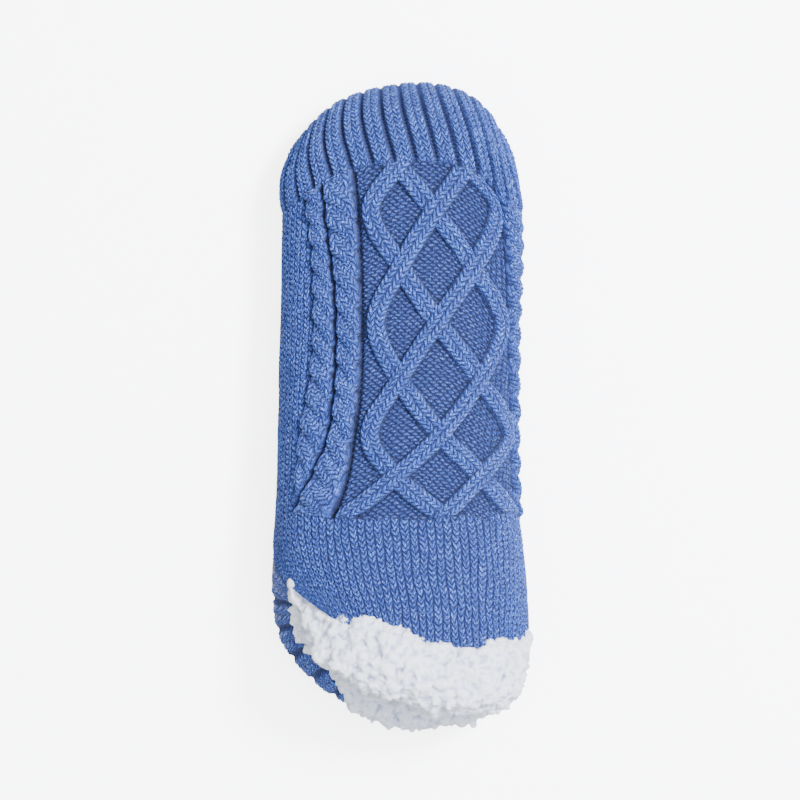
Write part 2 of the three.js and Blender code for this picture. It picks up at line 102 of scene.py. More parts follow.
FLAP_EDGE = np.array([
    # across, at
    (0, 0.787), (0.15, 0.822), (0.3, 0.858), (0.45, 0.884), (0.6, 0.901), (0.75, 0.903),
    (0.88, 0.889), (1, 0.868),
])
HEEL_EDGE = np.array([
    # across, x, at, up, belly
    (0.125, 0.838, 0.854, 1.2, 0.27),
    (0.226, 0.72, 0.901, 1.1, 0.3),
    (0.364, 0.45, 0.962, 1.02, 0.19),
    (0.518, 0.02, 0.992, 1.0, 0.05),
    (0.674, -0.45, 0.99, 1.0, 0.05),
    (0.81, -0.82, 0.962, 1.02, 0.05),
    (0.917, -1.0, 0.915, 1.07, 0.05),
])

# The photograph's scale and where the sock's own zero lies in it: its tip and its middle line
PHOTO_SIDE = 800
MM_PER_PIXEL = 0.377
PHOTO_TIP_Y = 67
PHOTO_MIDDLE_X = 547

# Stitches
WALES = 43  # across each half
COURSE = 2.2  # length of a stitch
LEG_RISE = 2.0  # courses that a V's legs would climb in the width of a wale
PURL_WALE = 3.0
PURL_ROW = 1.15
STRAND_WIDTH = 7.1
ROPE_TURN = 20.0  # length in which a rope's two strands go once round each other
RIB_COUNT = 15  # ribs across each half of the toe
HEEL_RIB_COUNT = 14
HEEL_LEAN = 0.08  # how far the heel's ribs lean below the collar's edge, as a share of the half
RIB_SHARE = 0.78  # of a rib's pitch that its two wales take
RIB_LEAN = 0.055  # how far the toe's ribs lean at the tip, as a share of the half
TIP_SPAN = 12  # the toe's grooves reach their full depth this far from the tip
TOE_RIB_END = (29.5, 33.5)
HEEL_RIB_START = (180, 184)
STITCH_RELIEF = 0.9
FLAP_PAINTED_SHADE = 0.1  # painted shade: the flap's knit is drawn darker than the rest

# The instep's lattice in the photograph: in odd rows two crossings, in even rows left turn, crossing
# and right turn
LATTICE_ROWS = [
    # y, left turn, left quarter, middle, right quarter, right turn
    (118, 505, 540, 574, 602, 628),
    (155, 512, 543, 577, 610, 634),
    (200, 517, 545, 579, 614, 640),
    (255, 520, 546, 581, 618, 643),
    (310, 522, 546, 582, 622, 646),
    (366, 519, 545, 583, 624, 650),
    (420, 516, 543, 585, 626, 652),
    (461, 508, 541, 586, 625, 654),
    (500, 492, 535, 587, 632, 658),
]
# Dark gutters between ropes and lattice in the photograph, as y and x
GUTTER_SIDE = [
    (150, 440), (200, 452), (260, 458), (330, 458), (370, 455), (395, 450), (430, 445), (470, 442),
    (500, 440),
]
GUTTER_ROPES = [
    (150, 466), (207, 471), (260, 478), (296, 481), (349, 481), (371, 480), (403, 477), (426, 472),
    (453, 461), (478, 449), (500, 438),
]
GUTTER_LEFT = [
    (150, 497), (200, 503), (260, 506), (331, 507), (367, 506), (390, 504), (410, 501), (430, 498),
    (455, 494), (480, 487), (500, 478),
]
GUTTER_RIGHT = [
    (140, 627), (167, 637), (203, 648), (238, 652), (270, 656), (313, 655), (345, 660), (371, 662),
    (395, 662), (425, 664), (500, 668),
]
CABLE_END_Y = 500


def clamp(value, low, high):
    return np.minimum(high, np.maximum(low, value))


def mix(a, b, share):
    return a + (b - a) * share


def ease(value, low, high):
    share = clamp((value - low) / (high - low), 0, 1)
    return share * share * (3 - 2 * share)


def follow(keys, values, at):
    """A smooth curve through a table's rows."""
    keys = np.asarray(keys, float)
    values = np.asarray(values, float)
    slopes = np.empty_like(values)
    slopes[1:-1] = (values[2:] - values[:-2]) / (keys[2:] - keys[:-2])
    slopes[0] = (values[1] - values[0]) / (keys[1] - keys[0])
    slopes[-1] = (values[-1] - values[-2]) / (keys[-1] - keys[-2])
    place = clamp(at, keys[0], keys[-1])
    i = np.clip(np.searchsorted(keys, place, side="left") - 1, 0, len(keys) - 2)
    span = keys[i + 1] - keys[i]
    share = (place - keys[i]) / span
    square = share * share
    cube = square * share
    return (
        (2 * cube - 3 * square + 1) * values[i]
        + (cube - 2 * square + share) * span * slopes[i]
        + (3 * square - 2 * cube) * values[i + 1]
        + (cube - square) * span * slopes[i + 1]
    )


def section_at(s):
    at = s / SOCK_LENGTH
    read = lambda column, size: follow(STATIONS[:, 0], STATIONS[:, column], at) * size
    return {
        "left": read(1, HALF_WIDTH),
        "right": read(2, HALF_WIDTH),
        "top": read(3, FLAP_HEIGHT),
        "widest": read(4, FLAP_HEIGHT),
        "floor": np.full_like(at, SOLE_Z),
    }


CURVE_STEPS = 48


def along_curve(x, z, share):
    """Points at an even share of each polyline's length. x and z have a row for each point asked."""
    lengths = np.zeros_like(x)
    lengths[:, 1:] = np.cumsum(np.hypot(np.diff(x, axis=1), np.diff(z, axis=1)), axis=1)
    wanted = share * lengths[:, -1]
    i = np.clip((lengths < wanted[:, None]).sum(axis=1), 1, x.shape[1] - 1)
    n = np.arange(len(x))
    part = (wanted - lengths[n, i - 1]) / (lengths[n, i] - lengths[n, i - 1])
    return mix(x[n, i - 1], x[n, i], part), mix(z[n, i - 1], z[n, i], part)


def top_of_section(section, u, from_angle, to_angle):
    crest = CREST_SHARE * HALF_WIDTH
    share = np.linspace(0, 1, CURVE_STEPS + 1)[None, :]
    angle = mix(from_angle[:, None], math.pi - to_angle[:, None], share)
    c = np.cos(angle)
    s = np.maximum(np.sin(angle), 0)
    reach = np.where(c > 0, section["left"][:, None] - crest, section["right"][:, None] + crest)
    x = crest + reach * np.sign(c) * np.abs(c) ** (2 / DOME_POWER)
    rise = (section["top"] - section["widest"])[:, None]
    z = section["widest"][:, None] + rise * s ** (2 / DOME_POWER)
    return along_curve(x, z, u)


def bottom_of_section(section, u):
    round_share = 0.3
    share = np.linspace(0, 1, CURVE_STEPS + 1)[None, :]
    left = section["left"][:, None]
    right = section["right"][:, None]
    drop = (section["widest"] - section["floor"])[:, None]
    is_left = share < 0.5
    half = np.where(is_left, left, right)
    turn = clamp(np.where(is_left, share, 1 - share) / round_share, 0, 1) * (math.pi / 2)
    side = half * (FLAT_SHARE + (1 - FLAT_SHARE) * np.cos(turn))
    flat = (share - round_share) / (1 - 2 * round_share)
    on_flat = (share >= round_share) & (share <= 1 - round_share)
    x = np.where(on_flat, mix(left * FLAT_SHARE, -right * FLAT_SHARE, flat), np.where(is_left, side, -side))
    z = np.where(on_flat, section["floor"][:, None], section["widest"][:, None] - drop * np.sin(turn))
    return along_curve(x, z, u)


def round_up(v, span):
    return np.sqrt(np.maximum(0, 1 - (1 - clamp(v / span, 0, 1)) ** 2))


def toe_back(x):
    return follow(TOE_EDGE[:, 0], TOE_EDGE[:, 1], x / HALF_WIDTH) * SOCK_LENGTH


def tube_points(is_top, u, v):
    toe_share = np.maximum(0, 1 - v / TOE_ROW_SPAN)
    section = section_at(v + toe_back(np.full_like(v, HALF_WIDTH)) * toe_share)
    section["top"] = mix(TOE_EDGE_HEIGHT, section["top"], round_up(v, TOP_ROUND))
    section["widest"] = mix(TOE_EDGE_HEIGHT, section["widest"], round_up(v, TOP_ROUND))
    section["floor"] = mix(TOE_EDGE_HEIGHT, SOLE_Z, round_up(v, SOLE_ROUND))
    if is_top:
        x, z = top_of_section(section, u, np.zeros_like(u), np.zeros_like(u))
    else:
        x, z = bottom_of_section(section, u)
    return np.stack([x, v + toe_back(x) * toe_share, z], axis=-1)


def flap_points(u, rise):
    end = follow(FLAP_EDGE[:, 0], FLAP_EDGE[:, 1], u) * SOCK_LENGTH
    s = mix(HEEL_ROW_START, end, rise)
    climb = rise * rise * (1.6 - 0.6 * rise)
    x, z = top_of_section(section_at(s), u, LEFT_NOTCH * climb, RIGHT_NOTCH * climb)
    return np.stack([x, s, z], axis=-1)


def heel_edge_table():
    ends = flap_points(np.array([0.0, 1.0]), np.array([1.0, 1.0]))
    row = lambda across, p: (across, p[0] / HALF_WIDTH, p[1] / SOCK_LENGTH, p[2] / HEEL_HEIGHT, 0.05)
    return np.array([row(0, ends[0]), *[tuple(r) for r in HEEL_EDGE], row(1, ends[1])])


EDGE_TABLE = heel_edge_table()


def heel_edge_points(u):
    read = lambda column: follow(EDGE_TABLE[:, 0], EDGE_TABLE[:, column], u)
    edge = np.stack([read(1) * HALF_WIDTH, read(2) * SOCK_LENGTH, read(3) * HEEL_HEIGHT], axis=-1)
    return edge, read(4) * HALF_WIDTH


def heel_curve(u, rise):
    edge, belly = heel_edge_points(u)
    step = 0.01
    before = heel_edge_points(np.maximum(u - step, 0))[0]
    after = heel_edge_points(np.minimum(u + step, 1))[0]
    outward = np.stack([after[:, 1] - before[:, 1], before[:, 0] - after[:, 0], np.zeros(len(u))], axis=-1)
    outward /= np.linalg.norm(outward, axis=1)[:, None]
    start = tube_points(False, u, np.full_like(u, HEEL_ROW_START))
    reach = edge[:, 1] - start[:, 1]
    along = lambda share: start + np.stack([0 * reach, reach * share, 0 * reach], axis=-1)
    low = edge + outward * (belly * 1.2 + 1.5)[:, None]
    low[:, 2] = start[:, 2]
    wide = edge + outward * belly[:, None]
    wide[:, 2] = mix(start[:, 2], edge[:, 2], 0.52)
    point = np.zeros_like(start)
    handles = (start, along(0.26), along(0.54), low, wide, edge)
    for i, (handle, weight) in enumerate(zip(handles, (1, 5, 10, 10, 5, 1))):
        point += handle * (weight * rise ** i * (1 - rise) ** (5 - i))[:, None]
    return point


def heel_points(u, rise):
    join = 0.14
    point = heel_curve(u, rise)
    zero = np.zeros_like(u)
    one = np.ones_like(u)
    left_share = 1 - ease(u, 0, join)
    right_share = 1 - ease(1 - u, 0, join)
    point += (flap_points(zero, rise) - heel_curve(zero, rise)) * left_share[:, None]
    point += (flap_points(one, rise) - heel_curve(one, rise)) * right_share[:, None]
    return point


def base_points(t, v):
    """Points of the base surface in the part's own frame. t goes once round: 0 and 0.5 are the side
    lines, and a v below 0 carries on over the toe's tip to the other half."""
    t = np.asarray(t, float)
    v = np.asarray(v, float)
    shape = np.broadcast(t, v).shape
    t = (np.broadcast_to(t, shape).ravel()) % 1.0
    v = np.broadcast_to(v, shape).ravel().copy()
    is_top = t <= 0.5
    u = np.where(is_top, t * 2, 2 - t * 2)
    is_top = is_top ^ (v < 0)
    v = np.abs(v)
    made = np.zeros((len(t), 3))
    for top_half in (True, False):
        for in_tube in (True, False):
            picked = np.flatnonzero((is_top == top_half) & ((v <= HEEL_ROW_START) == in_tube))
            for chunk in np.array_split(picked, max(1, len(picked) // 20000)):
                if len(chunk) == 0:
                    continue
                if in_tube:
                    made[chunk] = tube_points(top_half, u[chunk], v[chunk])
                else:
                    rise = (v[chunk] - HEEL_ROW_START) / HEEL_ROW_SPAN
                    made[chunk] = flap_points(u[chunk], rise) if top_half else heel_points(u[chunk], rise)
    return made.reshape(shape + (3,))


def outward_normals(points):
    """Normals of a grid whose rows go along the sock and whose columns go round it."""
    along = np.gradient(points, axis=0)
    round_ = np.gradient(points, axis=1)
    normal = np.cross(along, round_)
    return normal / np.maximum(np.linalg.norm(normal, axis=2), 1e-9)[..., None]


def to_frame():
    """What moves a point of the part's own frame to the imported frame, in millimetres."""
    low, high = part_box("grip_dot_01")
    middle = (Vector(low) + Vector(high)) / 2 / MM
    return np.array([middle.x - DOT_MIDDLE, middle.y - DOT_START, Vector(low).z / MM])


SHIFT = to_frame()


# Stitches. Each returns a height from 0, between yarns, to 1.

def grain(across, along, long_half, wide_half):
    return np.sqrt(np.maximum(0, 1 - (along / long_half) ** 2 - (across / wide_half) ** 2))


def plain_stitch(wale, course, groove):
    """Stockinette: columns of V whose slanting legs meet towards the heel. groove is how clearly the
    columns stand apart."""
    place = np.abs(wale - np.round(wale))
    leg = np.abs(np.sin(math.pi * (course + place * LEG_RISE)))
    middle = np.exp(-((place / 0.08) ** 2))
    return (0.15 + 0.85 * leg) * (1 - 0.3 * middle) * (1 - groove * ease(place, 0.34, 0.5))


def purl_stitch(wale, row):
    """Reverse stockinette: rows of short bars, each row half a stitch along from the last."""
    height = np.zeros_like(wale * row)
    for k in (-1, 0, 1):
        number = np.floor(row) + k
        b = row - number - 0.5
        a = wale + 0.5 * (number % 2)
        a = a - np.round(a)
        bow = 0.3 * np.cos(a * 2 * math.pi) * (1 - 2 * (number % 2))
        height = np.maximum(height, grain(b - bow, a, 0.42, 0.52))
    return height


def yarn_of(*channels):
    return np.stack(np.broadcast_arrays(*channels), axis=-1)


def plain_yarn(wale, course, groove=0.8):
    """Height, wale, course, whether it is purl, and how far wales stand apart, at each point."""
    return yarn_of(plain_stitch(wale, course, groove), wale, course, 0.0, groove)


def purl_yarn(wale, row):
    return yarn_of(purl_stitch(wale, row), wale, row, 1.0, 1.0)


def laid(mask, over, under):
    return np.where(mask[..., None], over, under)


def blur(field, half_rows, half_columns):
    """A box blur, run twice."""
    for _ in range(2):
        for axis, half in ((0, half_rows), (1, half_columns)):
            if half < 1:
                continue
            pad = [(half + 1, half) if a == axis else (0, 0) for a in (0, 1)]
            total = np.cumsum(np.pad(field, pad, mode="edge"), axis=axis)
            size = 2 * half + 1
            take = lambda start: np.take(total, np.arange(start, start + field.shape[axis]), axis=axis)
            field = (take(size) - take(0)) / size
    return field


def hash_noise(x, y, seed):
    """Smooth noise from -1 to 1 over a plane of unit cells."""
    xi = np.floor(x)
    yi = np.floor(y)
    fx = x - xi
    fy = y - yi
    fx = fx * fx * (3 - 2 * fx)
    fy = fy * fy * (3 - 2 * fy)

    def corner(i, j):
        wave = np.sin((xi + i) * 127.1 + (yi + j) * 311.7 + seed * 74.7)
        return np.modf(np.abs(wave) * 43758.5453)[0]

    low = mix(corner(0, 0), corner(1, 0), fx)
    high = mix(corner(0, 1), corner(1, 1), fx)
    return mix(low, high, fy) * 2 - 1


# The knit's grids

def spread(t, v):
    """t along each row of a grid, and v down each column."""
    return np.broadcast_arrays(np.asarray(t)[None, :], np.asarray(v)[:, None])


def run_lengths(points, axis):
    """How far each point of a grid lies along its row or column."""
    step = np.linalg.norm(np.diff(points, axis=axis), axis=2)
    start = np.zeros_like(np.take(step, [0], axis=axis))
    return np.concatenate([start, np.cumsum(step, axis=axis)], axis=axis)


class Grid:
    """A half of the knit: its base points, normals and lengths along and across, in millimetres."""

    def __init__(self, t, v):
        turns, self.v = spread(t, v)
        self.points = base_points(turns, self.v)
        self.normals = outward_normals(self.points)
        across = run_lengths(self.points, 1)
        along = run_lengths(self.points, 0)
        first, last = (int(np.argmin(np.abs(t - round(2 * end) / 2))) for end in (t[0], t[-1]))
        self.across = across - across[:, first][:, None]
        self.girth = self.across[:, last][:, None]
        share = self.across / self.girth
        is_top = t[len(t) // 2] < 0.5
        self.u = np.abs(share) if is_top else 1 - share
        self.u = 1 - np.abs(1 - np.abs(self.u))
        self.along = along - along[int(np.argmin(np.abs(v)))][None, :]
        self.past = np.maximum(0, np.maximum(-share, share - 1)) * self.girth
        self.past = np.maximum(self.past, -np.minimum(self.v, 0))

    def noise(self, across, along, seed):
        """Smooth noise with cells of the given size."""
        return hash_noise(self.across / across, self.along / along, seed)

    def place_of(self, table):
        """Where a line of the photograph lies across each row, as a length."""
        rows = np.array(table, float)
        wanted_x = -(rows[:, 1] - PHOTO_MIDDLE_X) * MM_PER_PIXEL
        wanted_y = (rows[:, 0] - PHOTO_TIP_Y) * MM_PER_PIXEL
        made = np.zeros(len(self.points))
        for i, row in enumerate(self.points):
            off = row[:, 0] - follow(wanted_y, wanted_x, row[:, 1])
            made[i] = np.interp(0, -off, self.across[i])
        return made[:, None]


def rib_height(phase, crest, depth):
    """A rib of two plain wales, with a narrow groove between it and the next."""
    part = np.abs(phase - np.floor(phase) - 0.5) * 2
    crown = np.sqrt(np.maximum(0, 1 - part**2 * 0.55))
    return crest - 0.9 * (1 - crown) - depth * ease(part, RIB_SHARE - 0.1, 0.95)


def rib_groove(phase):
    return ease(np.abs(phase - np.floor(phase) - 0.5) * 2, RIB_SHARE - 0.04, RIB_SHARE + 0.06)


def rib_yarn(phase, course, along):
    """The rib's two wales lie side by side, and short bars cross the groove."""
    place = (phase - np.floor(phase) - 0.5) * 2 / RIB_SHARE + 0.5
    groove = plain_yarn(np.full_like(place, 0.25), along / 1.5)
    return laid(np.abs(place - 0.5) < 1, plain_yarn(place, course, 0.5), groove)


def strand_yarn(offset, length, width, groove=0.6):
    return plain_yarn(offset / width * 2 + 0.5, length / COURSE, groove)


def beside(grid, line, off, smooth):
    """For a line that runs down the knit: its slope, and how far off and how far along it each point lies."""
    step = np.gradient(grid.along.mean(axis=1))[:, None]
    slope = blur(np.gradient(line[:, 0])[:, None] / step, smooth, 0)
    stretch = np.sqrt(1 + slope**2)
    off = off / stretch
    return slope, off, np.cumsum(step * stretch, axis=0) + off * slope


def lattice(grid, height, yarn):
    """Four strands that run to and fro. The ones that go down to the photograph's left pass over."""
    rows = np.array(LATTICE_ROWS, float)
    columns = {-1.0: 1, -0.5: 2, 0.0: 3, 0.5: 4, 1.0: 5}
    to_and_fro = [-0.5, 0.0, 0.5, 1.0, 0.5, 0.0, -0.5, -1.0]
    strands = []
    for strand in range(4):
        table = []
        for k, row in enumerate(rows):
            step = to_and_fro[(k - 1 + strand * 2) % 8]
            table.append((row[0], row[columns[step]]))
        middle = grid.place_of(table)
        strands.append((middle, *beside(grid, middle, grid.across - middle, 4)))
    made_height = height
    for over in (False, True):
        for i, (middle, slope, offset, length) in enumerate(strands):
            body = np.sqrt(np.maximum(0, 1 - np.abs(2 * offset / STRAND_WIDTH) ** 2.6))
            near = np.full_like(middle, 99.0)
            for j, other in enumerate(strands):
                if j != i:
                    near = np.minimum(near, np.abs(middle - other[0]))
            dip = 1.6 * (1 - ease(near, 1.5, 8.5))
            on_top = slope < 0.02
            level = np.where(on_top, 2.5 + 0.15 * dip, 2.3 - dip)
            made = np.where((body > 0) & (on_top == over), level * body, -9)
            wins = made > made_height
            made_height = np.where(wins, made, made_height)
            drift = 0.35 * grid.noise(3.1, 3.6, 21 + i)
            yarn = laid(wins, strand_yarn(offset + drift, length + drift, STRAND_WIDTH), yarn)
    return made_height, yarn


def rope(grid, low, high, height, yarn, seed):
    """A rope of two strands that twist round each other between two gutters."""
    middle = (low + high) / 2
    width = np.abs(high - low)
    offset = grid.across - middle
    twist = 2 * math.pi * grid.along.mean(axis=1)[:, None] / ROPE_TURN + seed
    for side in (-1, 1):
        sway = -side * 0.25 * width * np.cos(twist)
        _, off, length = beside(grid, sway, offset - sway, 0)
        body = np.sqrt(np.maximum(0, 1 - np.abs(2 * off / (0.6 * width)) ** 2.2))
        level = 1.7 + 1.05 * side * np.sin(twist)
        made = np.where(body > 0, level * body, -9)
        wins = made > height
        height = np.where(wins, made, height)
        drift = 0.3 * grid.noise(3.1, 3.6, 31 + side)
        yarn = laid(wins, strand_yarn(off + drift, length + drift, 0.6 * width, 0.4), yarn)
    return height, yarn


def drifted(grid, wales):
    """Wale and course numbers, each a little uneven."""
    wander = grid.noise(7, 9, 11) * 0.2 + grid.noise(2, 2.4, 12) * 0.1
    lag = grid.noise(5, 8, 13) * 0.35 + grid.noise(1.7, 4, 14) * 0.2
    return grid.u * wales + wander, grid.along / COURSE + lag


def rib_phase(grid):
    from_side = np.minimum(grid.u, 1 - grid.u)
    lean = RIB_LEAN * (1 - clamp(grid.v / 30, 0, 1)) * ease(from_side, 0, 0.16)
    return (grid.u + lean) * RIB_COUNT


def toe_rib_height(grid, phase, crest):
    return rib_height(phase, crest, mix(0.8, 2.0, ease(grid.v, 0, TIP_SPAN)))


def top_relief(grid):
    """Height over the base surface, the yarn on it and the painted shade: darker in the gutters, the rib
    grooves, the sunken purl ground and over the flap.
    """
    wale, course = drifted(grid, WALES)
    plain = plain_yarn(wale, course)
    across = grid.across
    end_y = (CABLE_END_Y - PHOTO_TIP_Y) * MM_PER_PIXEL
    side, between, left, right = (
        grid.place_of(table) for table in (GUTTER_SIDE, GUTTER_ROPES, GUTTER_LEFT, GUTTER_RIGHT)
    )

    turn = grid.place_of([(row[0], row[5]) for row in LATTICE_ROWS])
    right = np.minimum(blur(np.minimum(right, turn + STRAND_WIDTH / 2 + 2.4), 6, 0), grid.girth - 9)
    in_ground = ease(across, left - 0.4, left + 0.4) * (1 - ease(across, right - 0.4, right + 0.4))
    purl_wale = across / PURL_WALE + 0.2 * grid.noise(4, 4, 41)
    purl = purl_yarn(purl_wale, grid.along / PURL_ROW + 0.45 * grid.noise(4, 5, 42))
    cables = mix(np.full_like(across, PLAIN_RELIEF), np.full_like(across, -0.35), in_ground)
    cable_yarn = laid(in_ground > 0.5, purl, plain)
    ground = in_ground.copy()
    far_right = np.minimum(right + (left - between), grid.girth - 1)
    for low, high, seed in ((side, between, 0.4), (between, left, 1.7), (right, far_right, 2.6)):
        inside = (across > low) & (across < high)
        made, made_yarn = rope(grid, low, high, np.where(inside, -0.4, cables), cable_yarn, seed)
        cables = np.where(inside, made, cables)
        cable_yarn = laid(inside, made_yarn, cable_yarn)
    panel = (across > left) & (across < right)
    made, made_yarn = lattice(grid, cables, cable_yarn)
    ground = np.where(panel & (made > cables), 0, ground)
    cables = np.where(panel, made, cables)
    cable_yarn = laid(panel, made_yarn, cable_yarn)
    # Painted shade: each gutter is drawn darker the deeper it sinks.
    painted_gutter_shade = np.zeros_like(across)
    for line, sink, reach in ((side, 0.8, 0.9), (between, 2.0, 1.0), (left, 2.4, 1.2), (right, 2.2, 1.1)):
        cut = np.exp(-(((across - line) / reach) ** 2))
        cables = cables - sink * cut
        painted_gutter_shade = np.maximum(painted_gutter_shade, cut * sink / 2.4)

    start = ease(grid.v, *TOE_RIB_END)
    uneven_end = end_y + 1.3 * hash_noise(across / 7, 0 * across, 61)
    stop = 1 - ease(grid.points[..., 1], uneven_end - 1.6, uneven_end + 1.4)
    share = start * stop
    height = mix(np.full_like(across, PLAIN_RELIEF), cables, share)
    yarn = laid(share > 0.5, cable_yarn, plain)
    # Painted shade: the sunken purl ground and the gutters drawn darker.
    painted_shade = np.maximum(0.42 * ground, painted_gutter_shade) * share
    # Painted shade: the flap drawn darker than the rest of the knit.
    painted_shade = np.maximum(painted_shade, FLAP_PAINTED_SHADE * (1 - stop))

    phase = rib_phase(grid)
    height = mix(toe_rib_height(grid, phase, 1.5), height, start)
    # Painted shade in the toe ribs' grooves.
    painted_shade = np.maximum(painted_shade, rib_groove(phase) * (1 - start))
    yarn = laid(start < 0.5, rib_yarn(phase, course, grid.along), yarn)
    return height, yarn, painted_shade


def bottom_relief(grid):
    """The same for the sole and the heel."""
    wale, course = drifted(grid, WALES)
    yarn = plain_yarn(wale, course)
    height = np.full_like(grid.u, PLAIN_RELIEF)

    toe = 1 - ease(grid.v, *TOE_RIB_END)
    phase = rib_phase(grid)
    crest = mix(1.6, PLAIN_RELIEF, ease(grid.v, 0, TIP_SPAN))
    height = mix(height, toe_rib_height(grid, phase, crest), toe)
    # Painted shade in the toe ribs' grooves.
    painted_shade = rib_groove(phase) * toe
    yarn = laid(toe > 0.5, rib_yarn(phase, course, grid.along), yarn)

    heel = ease(grid.v, *HEEL_RIB_START)
    rise = (grid.v - HEEL_ROW_START) / HEEL_ROW_SPAN
    lean = HEEL_LEAN * np.sin(2 * math.pi * grid.u) * (1 - ease(rise, 0.5, 1.1))
    phase = (grid.u - lean) * HEEL_RIB_COUNT
    crest = mix(PLAIN_RELIEF, 1.2, ease(grid.v, 196, 208))
    height = mix(height, rib_height(phase, crest, 0.95), heel)
    # Painted shade in the heel ribs' grooves.
    painted_shade = np.maximum(painted_shade, 0.85 * rib_groove(phase) * heel)
    yarn = laid(heel > 0.5, rib_yarn(phase, course, grid.along), yarn)
    return height, yarn, painted_shade


# Meshes

def new_object(name, data):
    made = bpy.data.objects.new(name, data)
    bpy.context.scene.collection.objects.link(made)
    return made


def make_mesh(name, points, faces, values=None, uv=None):
    """A mesh in metres from points in the part's frame, with named values at its points."""
    mesh = bpy.data.meshes.new(name)
    flat = (points.reshape(-1, 3) + SHIFT) * MM
    faces = np.asarray(faces, np.int32)
    mesh.vertices.add(len(flat))
    mesh.vertices.foreach_set("co", flat.astype(np.float32).ravel())
    mesh.loops.add(faces.size)
    mesh.loops.foreach_set("vertex_index", faces.ravel())
    mesh.polygons.add(len(faces))
    mesh.polygons.foreach_set("loop_start", np.arange(0, faces.size, faces.shape[1], dtype=np.int32))
    mesh.polygons.foreach_set("loop_total", np.full(len(faces), faces.shape[1], np.int32))
    mesh.update(calc_edges=True)
    mesh.validate()
    mesh.polygons.foreach_set("use_smooth", np.ones(len(mesh.polygons), bool))
    for key, value in (values or {}).items():
        layer = mesh.attributes.new(key, "FLOAT", "POINT")
        layer.data.foreach_set("value", np.asarray(value, np.float32).ravel())
    if uv is not None:
        layer = mesh.uv_layers.new(name="OFBake")
        layer.data.foreach_set("uv", uv.reshape(-1, 2)[faces.ravel()].astype(np.float32).ravel())
    piece = new_object(name, mesh)
    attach(piece, "root")
    return piece


def grid_faces(rows, columns):
    a = np.arange(rows - 1)[:, None] * columns + np.arange(columns - 1)[None, :]
    return np.stack([a, a + columns, a + columns + 1, a + 1], axis=-1).reshape(-1, 4)


def grid_uv(rows, columns):
    v, u = np.meshgrid(np.linspace(0.002, 0.998, rows), np.linspace(0.002, 0.998, columns), indexing="ij")
    return np.stack([u, v], axis=-1)


def knit_pieces(grid, relief, cuts, material):
    """The knit of one half in pieces that end at the given rows. Its collar edge is rolled inwards."""
    height, yarn, painted_shade = relief(grid)
    stitch = yarn[..., 0]
    sag = grid.noise(9, 11, 3) * 0.22
    uneven = grid.noise(2.2, 2.0, 8) * 0.10
    total = height + sag + uneven + STITCH_RELIEF * (stitch - 0.75) - np.minimum(0.6, 0.5 * grid.past)
    # near and broad: how far each point lies below its neighbours, close by and over a wider reach; the
    # material paints shade into these hollows.
    near = blur(total, 2, 2) - total
    painted_broad_shade = blur(total, 8, 8) - total
    points = grid.points + grid.normals * total[..., None]
    tone = grid.noise(0.8, 1.1, 51) * 0.7 + grid.noise(2.5, 3, 52) * 0.4
    # The shade values here are painted into the knit's colour by its material.
    values = {"near": near, "painted_broad_shade": painted_broad_shade, "painted_shade": painted_shade, "tone": tone}
    values.update(zip(("wale", "course", "purl", "apart"), np.moveaxis(yarn[..., 1:], -1, 0)))
    points, values = turn_in(grid, points, total, values)
    normals = outward_normals(points)
    cuts = [(name, np.searchsorted(grid.v[:, 0], at)) for name, at in cuts]
    starts = [0] + [at for _, at in cuts[:-1]]
    for (name, _), first, last in zip(cuts, starts, starts[1:] + [len(points) - 1]):
        rows = slice(first, last + 1)
        shape = points[rows].shape[:2]
        own = {key: value[rows] for key, value in values.items()}
        piece = make_mesh(name, points[rows], grid_faces(*shape), own, grid_uv(*shape))
        piece.data.normals_split_custom_set_from_vertices(normals[rows].reshape(-1, 3).tolist())
        piece.data.materials.append(material)
        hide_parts("knit_upper")


def turn_in(grid, points, total, values):
    """Rolls the collar's edge inwards over the knit's thickness."""
    along = grid.points[-1] - grid.points[-3]
    along /= np.linalg.norm(along, axis=1)[:, None]
    extra = []
    for turn in np.linspace(0.25, 1.0, 6) * math.pi:
        inward = (1 - math.cos(turn)) / 2 * (KNIT_WALL + 0.4)
        past = math.sin(turn) * 1.1
        height = mix(total[-1], PLAIN_RELIEF, min(1.0, turn / 1.5)) - inward
        extra.append(grid.points[-1] + grid.normals[-1] * height[:, None] + along * past)
    points = np.concatenate([points, np.array(extra)], axis=0)
    longer = ((0, len(extra)), (0, 0))
    return points, {key: np.pad(value, longer, mode="edge") for key, value in values.items()}


def tip_rows(count):
    """Rows of the toe's rounded part, evenly spaced along its curve."""
    angle = np.linspace(0, math.pi / 2, count)
    return TOP_ROUND * (1 - np.cos(angle))


# Materials

def set_inputs(node, values):
    for name, value in values.items():
        node.inputs[name].default_value = value


def link_or_set(tree, socket, value):
    if isinstance(value, bpy.types.NodeSocket):
        tree.links.new(value, socket)
    else:
        socket.default_value = value


def new_material(name):
    material = bpy.data.materials.new(name)
    material.use_nodes = True
    tree = material.node_tree
    shader = tree.nodes["Principled BSDF"]
    return material, tree, shader


def object_place(tree):
    return tree.nodes.new("ShaderNodeTexCoord").outputs["Object"]


def attribute(tree, name):
    node = tree.nodes.new("ShaderNodeAttribute")
    node.attribute_name = name
    return node.outputs["Fac"]


def calculate(tree, operation, *values):
    node = tree.nodes.new("ShaderNodeMath")
    node.operation = operation
    for socket, value in zip(node.inputs, values):
        link_or_set(tree, socket, value)
    return node.outputs["Value"]


def noise_node(tree, vector, scale, detail, rough):
    node = tree.nodes.new("ShaderNodeTexNoise")
    set_inputs(node, {"Scale": scale, "Detail": detail, "Roughness": rough})
    tree.links.new(vector, node.inputs["Vector"])
    return node.outputs["Fac"]


